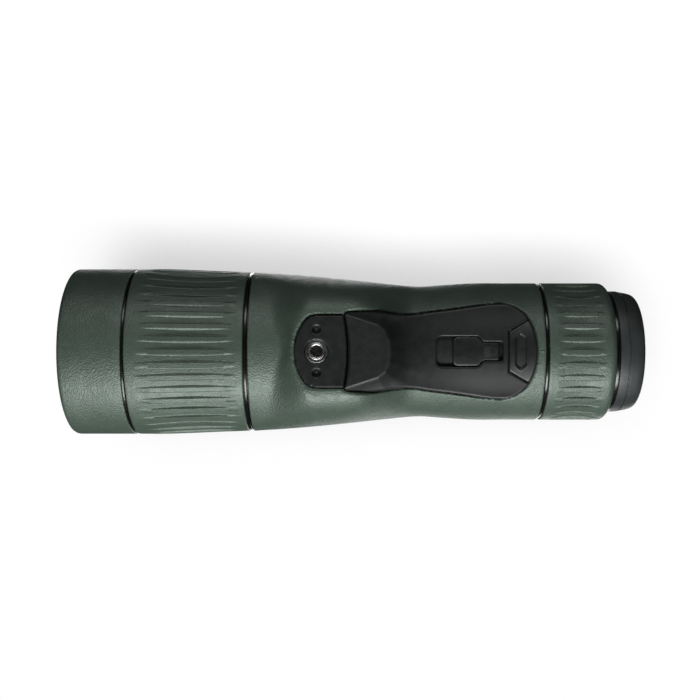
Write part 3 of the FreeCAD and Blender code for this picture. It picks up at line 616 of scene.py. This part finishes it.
def metal(name, color, rough):
    """Turned or brushed metal with fine machining lines."""
    s = Shader(name)
    s.principled.inputs["Metallic"].default_value = 1.0
    patchy = s.span(s.noise(1.0 / (5.0 * MM), 5.0), 0.35, 0.65, 0.0, 1.0)
    dark = tuple(c * 0.82 for c in color)
    base = s.mix(patchy, dark, color)
    rubbed = tuple(min(1.0, c * 1.25) for c in color)
    s.link(s.mix(s.worn_edges(0.3), base, rubbed), s.principled.inputs["Base Color"])
    s.link(s.span(s.noise(1.0 / (1.5 * MM), 6.0), 0.3, 0.7, rough - 0.08, rough + 0.1),
           s.principled.inputs["Roughness"])
    s.bump(s.noise(1.0 / (0.35 * MM), 4.0), 0.012 * MM, 0.6)
    return s.material


def glass(name, tint):
    """Coated lens: clear, with a thin-film colour and a trace of dust."""
    s = Shader(name)
    p = s.principled
    dusty = s.span(s.noise(1.0 / (0.8 * MM), 6.0, 0.7), 0.62, 0.8, 0.0, 0.12)
    s.link(s.mix(dusty, tint, (0.6, 0.6, 0.58)), p.inputs["Base Color"])
    s.link(s.span(s.noise(1.0 / (4.0 * MM), 4.0), 0.3, 0.7, 0.0, 0.035), p.inputs["Roughness"])
    p.inputs["Transmission Weight"].default_value = 1.0
    p.inputs["IOR"].default_value = 1.52
    p.inputs["Thin Film Thickness"].default_value = 410.0
    p.inputs["Thin Film IOR"].default_value = 1.36
    s.bump(s.noise(1.0 / (6.0 * MM), 2.0), 0.001 * MM, 0.2)
    return s.material


def make_materials():
    """One material for each of the record's slots, and a few for added pieces."""
    green = (0.047, 0.070, 0.053)
    sheen = {"spots": 0.08, "specular": 0.9, "tint": (0.88, 1.0, 0.92)}
    rubber = {
        "green_armour": (green, 0.50, 0.75, 0.17, {"wear": 0.10, **sheen}),
        "green_smooth": (green, 0.50, 0.75, 0.13, {"wear": 0.12, **sheen}),
        "eyecup_rubber": ((0.026, 0.031, 0.031), 0.5, 0.7, 0.02, {"spots": 0.15, "wear": 0.15}),
        "button_rubber": ((0.03, 0.034, 0.033), 0.55, 0.5, 0.02, {"spots": 0.15, "wear": 0.2}),
        "black_anodised": ((0.016, 0.016, 0.018), 0.38, 0.25, 0.006, {}),
        "gloss_black": ((0.004, 0.004, 0.0045), 0.22, 0.6, 0.002, {"spots": 0.2, "wear": 0.1}),
        "housing_plastic": ((0.02, 0.02, 0.022), 0.6, 0.4, 0.02, {}),
        "plate_black": ((0.0095, 0.011, 0.0105), 0.42, 0.35, 0.012, {"spots": 0.15, "wear": 0.8}),
        "cover_plastic": ((0.0085, 0.0100, 0.0095), 0.46, 0.42, 0.018, {"wear": 0.5}),
        "lock_plastic": ((0.0085, 0.010, 0.0095), 0.42, 0.35, 0.010, {"wear": 0.5}),
        "seal_rubber": ((0.015, 0.015, 0.016), 0.5, 0.4, 0.01, {}),
        "battery_sleeve": ((0.09, 0.11, 0.2), 0.35, 0.6, 0.01, {}),
        "circuit_board": ((0.02, 0.12, 0.05), 0.4, 0.9, 0.02, {}),
        "flex_film": ((0.42, 0.19, 0.04), 0.4, 0.9, 0.01, {}),
        "pictogram": ((0.021, 0.023, 0.022), 0.4, 0.4, 0.01, {"spots": 0.15, "wear": 0.0}),
    }
    made = {name: moulded(name, *values, **more) for name, (*values, more) in rubber.items()}
    for name, color, rough in (("steel", (0.56, 0.555, 0.54), 0.3),
                               ("dark_steel", (0.2, 0.2, 0.2), 0.36),
                               ("brass_module", (0.62, 0.46, 0.2), 0.35)):
        made[name] = metal(name, color, rough)
    made["coated_glass"] = glass("coated_glass", (0.93, 0.97, 0.98))
    return made


# ---- turned pieces --------------------------------------------------------------------------
def front_barrel_pieces(mats):
    """Front armour with its rolled lip, and the four gloss rings."""
    x0 = front_low[0]
    x1 = front_high[0] + SEAM_LAP
    r = FRONT_R
    skin = [(x0 + 1.9, 34.2, 0.3), (x0, 34.9, 0.5), (x0, r, 2.2), (x1, r, 0.6), (x1, r - 2.3, 0),
            (x0 + 1.9, r - 2.3, 0)]
    verts, faces = lathe(long_profile(skin))
    add_piece("front_armour_skin", verts, faces, "housing", mats["green_armour"],
              ["front_armour"])
    for name, peak in (("front_seam_ring", 0.35), ("rear_seam_ring", 0.3), ("zoom_seam_ring", 0.3),
                       ("neck_ring", 0.25)):
        low, high = box_mm(name)
        outer = (high[1] - low[1]) / 2
        inner = outer - 1.9
        lap = 0.0 if name == "neck_ring" else SEAM_LAP - 0.1
        x0 = low[0] + lap
        x1 = high[0] - lap
        profile = [(x0, inner, 0), (x0, outer, peak), (x1, outer, peak), (x1, inner, 0)]
        verts, faces = lathe(profile)
        add_piece(name + "_gloss", verts, faces, "housing", mats["gloss_black"],
                  [name])


def long_profile(points):
    """Split the long straight runs of a profile into parts of 6 to 12 mm, keeping its fillets."""
    out = []
    for i, here in enumerate(points):
        ahead = points[(i + 1) % len(points)]
        out.append(here)
        parts = int(math.hypot(ahead[0] - here[0], ahead[1] - here[1]) // 6.0)
        for k in range(1, parts):
            t = k / parts
            out.append((here[0] + (ahead[0] - here[0]) * t, here[1] + (ahead[1] - here[1]) * t, 0))
    return out


def eyecup_piece(mats):
    """Rubber eyecup with a groove, a flare and a rolled inner lip."""
    x0 = cup_low[0]
    x1 = cup_high[0]
    r = CUP_R
    profile = [(x0, 28.6, 0), (x0, r, 0.35), (x0 + 4.3, r, 0.35), (x0 + 4.35, r - 0.8, 0.1),
               (x0 + 4.8, r - 0.8, 0.1), (x0 + 4.85, r - 0.25, 0.3), (x0 + 9.0, 29.0, 0.5),
               (x0 + 11.2, 28.3, 0.9), (x1, 26.9, 0.9), (x1, 25.2, 0.8), (x1 - 0.5, 23.4, 0.6),
               (x1 - 2.0, 22.4, 0.4), (x1 - 3.6, 23.2, 0.4), (x1 - 2.3, 28.6, 0)]
    verts, faces = lathe(profile)
    add_piece("eyecup_skin", verts, faces, "eyecup", mats["eyecup_rubber"],
              ["eyecup"])


def grip(name, node, body, mats, rows, ends, radius, flutes, channel, inner):
    """Rubber sleeve with scooped channels, each (start, end, depth), that fade out at both ends."""
    x_start, x_end, depth = channel
    land = 1 - FLUTE_SHARE
    stops = np.concatenate([land * np.linspace(0, 1, 4)[:-1],
                            land + FLUTE_SHARE * np.linspace(0, 1, 18)[:-1]])
    share = (stops[None, :] + np.arange(flutes)[:, None]).ravel()
    phi = np.radians(FLUTE_PHASE) + 2 * np.pi * share / flutes
    pitch = 2 * np.pi * float(np.max(radius(rows))) / flutes
    local = np.tile(stops, flutes)
    from_edge = np.clip(np.minimum(local - land, 1 - local), 0, 1) * pitch
    t = np.clip((rows - x_start) / (x_end - x_start), 0, 1)
    along = depth * (1 - np.abs(2 * t - 1) ** FLUTE_TAPER) + 1e-6
    cut = WALL_SLOPE * from_edge[None, :] * np.ones((len(rows), 1))
    cut = smooth_min(cut, along[:, None] * np.ones_like(cut), 0.22)
    outer_r = radius(rows)[:, None] - ends(rows)[:, None] - np.maximum(cut, 0)
    verts = [(x, r * math.sin(a), AXIS - r * math.cos(a))
             for x, row in zip(rows, outer_r) for a, r in zip(phi, row)]
    verts += [(x, inner * math.sin(a), AXIS - inner * math.cos(a))
              for x in (rows[-1], rows[0]) for a in phi]
    faces = [f[::-1] for f in ring_faces(len(rows) + 2, len(phi))]
    add_piece(name, verts, faces, body, mats["green_smooth"], [node], sharp=50)


def end_round(x0, x1, r0, r1):
    """Drop of a rounded corner at each end of a sleeve."""
    def drop(x):
        return edge_drop(x - x0, r0) + edge_drop(x1 - x, r1)
    return drop


def end_rows(x0, x1, r0, r1, step):
    """Rows crowded into the rounded ends."""
    curve = 1 - np.cos(np.linspace(0, np.pi / 2, 6))
    middle = np.arange(x0 + r0 + step, x1 - r1 - step / 2, step)
    return np.concatenate([x0 + r0 * curve, middle, x1 - r1 * curve[::-1]])


def zoom_radius(x):
    """The zoom ring is a plain cylinder."""
    return np.full(np.shape(x), ZOOM_R)


def grips(mats):
    """The two fluted rings, each a little longer than its CAD node so that no gap shows."""
    x0 = focus_low[0] - SEAM_LAP
    x1 = focus_high[0] + SEAM_LAP
    grip("focus_grip_skin", "focus_grip", "focus_ring", mats, end_rows(x0, x1, 0.7, 0.7, 1.0),
         end_round(x0, x1, 0.7, 0.7), focus_radius, FLUTES_FOCUS, (-84.2, -37.2, 1.0), 38.5)
    x0 = zoom_low[0] - SEAM_LAP / 2
    x1 = zoom_high[0]
    grip("zoom_grip_skin", "zoom_grip", "zoom_ring", mats, end_rows(x0, x1, 0.6, 3.4, 0.8),
         end_round(x0, x1, 0.6, 3.4), zoom_radius, FLUTES_ZOOM, (113.0, 135.6, 0.9), 31.0)


# ---- the body's skin ------------------------------------------------------------------------
def swollen_radius(x, phi):
    """Distance from the optical axis to the body with its web, found by halving."""
    r = body_radius(x)
    webbed = (np.cos(phi) > 0.05) & (x < WEB_END_X)
    low = r[webbed]
    high = low + 16.0
    for _ in range(22):
        middle = (low + high) / 2
        depth = AXIS - middle * np.cos(phi[webbed])
        inside = depth > armour_z(x[webbed], middle * np.sin(phi[webbed]))
        low = np.where(inside, middle, low)
        high = np.where(inside, high, middle)
    r[webbed] = low
    return r - end_round(BODY_X0, BODY_X1, 0.5, 0.5)(x)


def clear_of_openings(x, y, below):
    """Distance outside the cover's and plate's openings, with the nearest point on their edges."""
    distance = np.full(x.shape, 50.0)
    near = np.zeros((len(x), 2))
    index = np.where(below)[0]
    for hole in (cover_loop(0.35), plate_loop(0.25)):
        gap, hole_near = signed(x[index], y[index], hole)
        closer = -gap < distance[index]
        distance[index] = np.where(closer, -gap, distance[index])
        near[index[closer]] = hole_near[closer]
    bridge = (x > plate_high[0] - 3.5) & (x < cover_low[0] + 1.5) & (np.abs(y) < 16.6) & below
    distance[bridge] = -5.0
    return distance, near


def body_skin(mats):
    """Round waisted skin that swells into a web round the foot, open where foot and cover sit."""
    rows = np.concatenate([[BODY_X0, BODY_X0 + 0.15, BODY_X0 + 0.4],
                           np.arange(BODY_X0 + 1.0, BODY_X1 - 0.9, 0.9),
                           [BODY_X1 - 0.4, BODY_X1 - 0.15, BODY_X1]])
    fine = np.linspace(-70, 70, 211)
    rest = np.linspace(70, 290, 112)[1:-1]
    grid_x, grid_phi = np.meshgrid(rows, np.radians(np.concatenate([fine, rest])), indexing="ij")
    x = grid_x.ravel()
    phi = grid_phi.ravel()
    r = swollen_radius(x, phi)
    y = r * np.sin(phi)
    z = AXIS - r * np.cos(phi)
    below = (np.cos(phi) > 0.3) & (x > -14) & (x < 106)
    distance, near = clear_of_openings(x, y, below)
    snap = np.abs(distance) < 0.47
    x[snap] = near[snap, 0]
    y[snap] = near[snap, 1]
    z[snap] = armour_z(x[snap], y[snap])
    distance[snap] = 0.0
    z += np.where(below, edge_drop(distance, 0.8), 0.0)
    outer = np.stack([x, y, z], 1)
    core = body_radius(x) - SKIN
    angle = np.arctan2(y, AXIS - z)
    inner = np.stack([x, core * np.sin(angle), AXIS - core * np.cos(angle)], 1)
    faces = clip_faces(grid_x.shape[0], grid_x.shape[1], distance, wrap=True)
    outer, inner, faces = drop_unused(outer, inner, faces)
    verts, faces = thicken(outer, faces, inner)
    add_piece("body_skin", verts, faces, "housing", mats["green_armour"],
              ["body_armour"], sharp=60)


# ---- foot, cover, lock and tab --------------------------------------------------------------
def foot_pieces(mats):
    """Foot plate with the floors of its pin holes, and the threaded insert in its flange."""
    holes = [circle_loop(0, 0, 5.45)]
    holes += [circle_loop(0, side * PIN_HOLE_Y, PIN_HOLE_R, 32) for side in (-1, 1)]
    verts, faces = patch(plate_loop(), holes, lambda x, y: np.zeros(len(x)), 0.5, 0.7, PLATE_T,
                         0.25)
    add_piece("tripod_plate_skin", verts, faces, "housing", mats["plate_black"],
              ["tripod_plate"])
    for side, label in ((-1, "right"), (1, "left")):
        profile = [(PLATE_T, 0.01, 0), (PLATE_T, 2.5, 0), (1.7, 2.5, 0), (1.7, 0.5, 0.1),
                   (2.0, 0.01, 0)]
        verts, faces = lathe_upright(profile, 0, side * PIN_HOLE_Y, 40)
        add_piece("pin_hole_floor_" + label, verts, faces, "housing",
                  mats["plate_black"])
    flange = [(1.4, 3.9, 0), (1.4, 5.35, 0), (0.25, 5.35, 0.5), (0.25, 4.0, 0.15), (0.7, 3.9, 0)]
    verts, faces = lathe_upright(flange, 0, 0)
    add_piece("insert_flange", verts, faces, "housing", mats["dark_steel"])
    profile = [(9.6, 0.01, 0), (9.6, 4.5, 0), (1.4, 4.5, 0), (1.4, 3.9, 0), (0.35, 3.9, 0.45),
               (0.35, 3.05, 0.45), (1.2, 2.62, 0.2)]
    for turn in range(5):
        z = 1.5 + THREAD_PITCH * turn
        profile += [(z, 2.62, 0), (z + THREAD_PITCH * 0.35, 3.1, 0),
                    (z + THREAD_PITCH * 0.65, 3.1, 0)]
    profile += [(8.3, 2.6, 0), (8.3, 0.01, 0)]
    verts, faces = lathe_upright(profile, 0, 0)
    add_piece("tripod_insert_turned", verts, faces, "housing", mats["steel"],
              ["tripod_insert"])


def tab_z(x, y):
    """The release tab, with its finger pad sunk inside a faint rim."""
    d = signed(x, y, PAD_LOOP)[0]
    sunk = np.clip(d / 0.8 + 0.5, 0, 1)
    rim = np.exp(-(d / 0.5) ** 2)
    return round_z(x, y, COVER_OUT) + PAD_DEPTH * sunk - 0.3 * rim


def cover_pieces(mats):
    """Battery cover with the lock's pocket, the lock slider and the release tab."""
    pocket = bottle_loop(POCKET_X0, POCKET_X1, 7.26, 4.65, 3.2)
    tab_gap = tab_loop(0.3)
    tab_gap[tab_gap[:, 0] > TAB_RIM_X - 0.4, 0] += 3.0
    verts, faces = patch(cover_loop(), [pocket, tab_gap], cover_panel_z, 0.5, COVER_EDGE, COVER_T,
                         0.3)
    x, y, z = verts.T
    highest = np.maximum(HINGE_Z + 0.1, cover_panel_z(x, y) + COVER_EDGE + 0.05)
    verts[:, 2] = np.where(x < HINGE_X + 2.0, np.minimum(z, highest), z)
    add_piece("battery_cover_skin", verts, faces, "battery_cover",
              mats["cover_plastic"], ["battery_cover"], sharp=50)
    under_pocket = bottle_loop(POCKET_X0 - 0.3, POCKET_X1 + 0.3, 7.6, 5.0)
    verts, faces = patch(under_pocket, [], cylinder_z(LOCK_FLOOR), 0.7, 0.0, 0.8)
    add_piece("lock_pocket_floor", verts, faces, "battery_cover",
              mats["cover_plastic"])
    slider = bottle_loop(slider_low[0], slider_high[0], 7.0, 4.4, 3.0)
    verts, faces = patch(slider, [], cylinder_z(LOCK_TOP), 0.4, 0.45, 1.3)
    add_piece("lock_slider_skin", verts, faces, "lock_slider", mats["lock_plastic"],
              ["lock_slider"], sharp=50)
    verts, faces = patch(tab_loop(), [], tab_z, 0.4, 0.6, COVER_T)
    add_piece("release_tab_skin", verts, faces, "release_tab",
              mats["cover_plastic"], ["release_tab"], sharp=60)


def padlock(mats):
    """Closed padlock symbol standing a hair above the slider's neck."""
    top = cylinder_z(LOCK_TOP + SIGN_RISE)
    x0 = LOCK_SIGN_X
    x1 = x0 + 2.9
    bow_x = x0 + 4.2
    half = LOCK_SIGN_HALF
    body = dense(rounded([(x0, -half), (x1, -half), (x1, half), (x0, half)], 0.4), 0.2)
    verts, faces = patch(body, [], top, 0.2, 0.0, 0.2)
    add_piece("padlock_body", verts, faces, "lock_slider", mats["pictogram"])
    outer = dense([(x1, -1.7), (bow_x, -1.7)] + arc(bow_x, 0, 1.7, -90, 90, 12) + [(x1, 1.7)], 0.2)
    inner = dense([(x1 - 0.4, -1.15), (bow_x, -1.15)] + arc(bow_x, 0, 1.15, -90, 90, 10)
                  + [(x1 - 0.4, 1.15)], 0.2)
    verts, faces = patch(outer, [inner], top, 0.15, 0.0, 0.2)
    add_piece("padlock_shackle", verts, faces, "lock_slider", mats["pictogram"])


def index_mark(mats):
    """Short raised bar beside the zoom ring that its scale is read against."""
    bar = dense(rounded([(104.0, -0.35), (106.2, -0.35), (106.2, 0.35), (104.0, 0.35)], 0.2), 0.15)
    verts, faces = patch(bar, [], lambda x, y: round_z(x, y, 0.22), 0.15, 0.12, 0.5)
    add_piece("index_mark", verts, faces, "housing", mats["green_smooth"])


# ---- buttons on top -------------------------------------------------------------------------
def button_pieces(mats):
    """Rubber pad with round ends, and a dished button at each end of it."""
    x0 = bezel_low[0] + BUTTON_PAD_R
    x1 = bezel_high[0] - BUTTON_PAD_R
    top = bezel_high[2]
    stadium = dense(arc(x0, 0, BUTTON_PAD_R, 90, 270, 30) + arc(x1, 0, BUTTON_PAD_R, -90, 90, 30))
    holes = [circle_loop(x0, 0, 6.35, 60), circle_loop(x1, 0, 4.35, 48)]
    flat = 2 * AXIS - top
    verts, faces = patch(stadium, holes, lambda x, y: np.full(len(x), flat), 0.5, 1.3, 6.5, 0.4)
    verts, faces = flip_up(verts, faces)
    add_piece("button_bezel_skin", verts, faces, "housing", mats["eyecup_rubber"],
              ["button_bezel"])
    for node, x, r in (("range_button", x0, 6.1), ("mode_button", x1, 4.1)):
        rise = top + 1.2
        profile = [(top - 12, 0.01, 0), (top - 12, r - 1.6, 0), (top - 2, r - 1.6, 0),
                   (top - 2, r, 0), (rise, r, 0.9), (rise - 0.35, r * 0.55, 0.6),
                   (rise - 0.55, 0.01, 0)]
        verts, faces = lathe_upright(profile, x, 0)
        add_piece(node + "_skin", verts, [f[::-1] for f in faces], node,
                  mats["button_rubber"], [node])


# ---- stage, light and camera, in metres -------------------------------------------------------
STAGE_SIZE = 6.0
WORLD_LIGHT = 0.02
EYE_DISTANCE = 0.505    # from the optical axis to the camera


def paper_with_painted_shadow(name, faces_down, painted_shadow_darkest):
    """White paper seen from one side only, glowing for the camera, with a painted soft shadow where
    the instrument hides the light.
    """
    material = bpy.data.materials.new(name)
    material.use_nodes = True
    tree = material.node_tree
    nodes = tree.nodes
    nodes.remove(nodes["Principled BSDF"])
    lean = nodes.new("ShaderNodeCombineXYZ")
    for axis, value in zip("XYZ", (-0.40, 0.58, -0.71 if faces_down else 0.71)):
        lean.inputs[axis].default_value = value
    # Painted shadow: ambient occlusion, leaned to one side, darkens the paper's camera-only glow
    # near the instrument.
    painted_shadow_ao = nodes.new("ShaderNodeAmbientOcclusion")
    painted_shadow_ao.samples = 12
    painted_shadow_ao.inputs["Distance"].default_value = 0.045
    tree.links.new(lean.outputs[0], painted_shadow_ao.inputs["Normal"])
    shade = nodes.new("ShaderNodeMapRange")
    for key, value in (("From Min", 0.45), ("From Max", 0.93), ("To Min", painted_shadow_darkest),
                       ("To Max", 1.0)):
        shade.inputs[key].default_value = value
    tree.links.new(painted_shadow_ao.outputs["AO"], shade.inputs["Value"])
    path = nodes.new("ShaderNodeLightPath")
    seen = nodes.new("ShaderNodeMath")
    seen.operation = "MULTIPLY"
    tree.links.new(shade.outputs["Result"], seen.inputs[0])
    tree.links.new(path.outputs["Is Camera Ray"], seen.inputs[1])
    paper = nodes.new("ShaderNodeEmission")
    tree.links.new(seen.outputs[0], paper.inputs["Strength"])
    clear = nodes.new("ShaderNodeBsdfTransparent")
    side = nodes.new("ShaderNodeNewGeometry")
    mix = nodes.new("ShaderNodeMixShader")
    tree.links.new(side.outputs["Backfacing"], mix.inputs["Fac"])
    first, second = (clear, paper) if faces_down else (paper, clear)
    tree.links.new(first.outputs[0], mix.inputs[1])
    tree.links.new(second.outputs[0], mix.inputs[2])
    tree.links.new(mix.outputs[0], nodes["Material Output"].inputs["Surface"])
    return material


def stage_plane(name, z, size, material):
    """Level square of the stage, seen by the camera only."""
    mesh = bpy.data.meshes.new(name)
    half = size / 2
    mesh.from_pydata([(-half, -half, z), (half, -half, z), (half, half, z), (-half, half, z)], [],
                     [(0, 1, 2, 3)])
    mesh.materials.append(material)
    plane = bpy.data.objects.new(name, mesh)
    bpy.context.scene.collection.objects.link(plane)
    plane.visible_shadow = False
    plane.visible_diffuse = False
    plane.visible_glossy = False


def area_light(name, place, target, size, power):
    """Soft box at a place in metres, turned to the target."""
    data = bpy.data.lights.new(name, "AREA")
    data.shape = "RECTANGLE"
    data.size, data.size_y = size
    data.energy = power
    light = bpy.data.objects.new(name, data)
    light.location = place
    direction = np.array(target, float) - np.array(place, float)
    light.rotation_euler = Vector(direction).to_track_quat("-Z", "Y").to_euler()
    bpy.context.scene.collection.objects.link(light)


def stage():
    """Pale floor and backdrop with painted soft shadows, soft boxes above and below, and a world
    pale to the camera only.
    """
    low, high = cad_box
    stage_plane("floor", low[2] - 0.0004, STAGE_SIZE, paper_with_painted_shadow("floor_paper_painted_shadow", False, 0.25))
    stage_plane("backdrop", high[2] + 0.001, STAGE_SIZE, paper_with_painted_shadow("back_paper_painted_shadow", True, 0.62))
    centre = (0.0185, 0.0, AXIS * MM)
    area_light("key_below", (0.02, 0.83, -0.56), centre, (0.9, 0.46), 15.5)
    area_light("fill_below", (0.02, -0.75, -0.56), centre, (0.8, 0.3), 2.8)
    area_light("key_above", (-0.25, -0.30, 1.35), centre, (0.9, 0.7), 9.0)
    area_light("fill_above", (0.40, 0.35, 1.10), centre, (0.9, 0.7), 5.0)
    world = bpy.data.worlds.new("studio")
    world.use_nodes = True
    tree = world.node_tree
    tree.nodes["Background"].inputs["Color"].default_value = (1, 1, 1, 1)
    path = tree.nodes.new("ShaderNodeLightPath")
    glow = tree.nodes.new("ShaderNodeMapRange")
    glow.inputs["To Min"].default_value = WORLD_LIGHT
    glow.inputs["To Max"].default_value = 1.0
    tree.links.new(path.outputs["Is Camera Ray"], glow.inputs["Value"])
    tree.links.new(glow.outputs["Result"], tree.nodes["Background"].inputs["Strength"])
    bpy.context.scene.world = world
    bpy.context.scene.view_settings.view_transform = "Standard"


def camera():
    """Straight up at the underside from half a metre, square to the optical axis."""
    data = bpy.data.cameras.new("camera")
    data.sensor_width = 36.0
    data.lens = 51.94
    data.shift_x = -0.0107
    data.shift_y = 0.0021
    cam = bpy.data.objects.new("camera", data)
    cam.location = (0.01855, 0.0, AXIS * MM - EYE_DISTANCE)
    cam.rotation_euler = (math.pi, 0, 0)
    data.clip_start = 0.01
    bpy.context.scene.collection.objects.link(cam)
    bpy.context.scene.camera = cam


def dress_cad_nodes(mats):
    """Every CAD node gets its slot's material."""
    for entry in RECORD["subparts"]:
        node = frame["nodes"][entry["node"]]
        node.data.materials.clear()
        node.data.materials.append(mats[entry["material_slot"]])


mats = make_materials()
dress_cad_nodes(mats)
front_barrel_pieces(mats)
eyecup_piece(mats)
grips(mats)
body_skin(mats)
foot_pieces(mats)
cover_pieces(mats)
padlock(mats)
index_mark(mats)
button_pieces(mats)
stage()
camera()
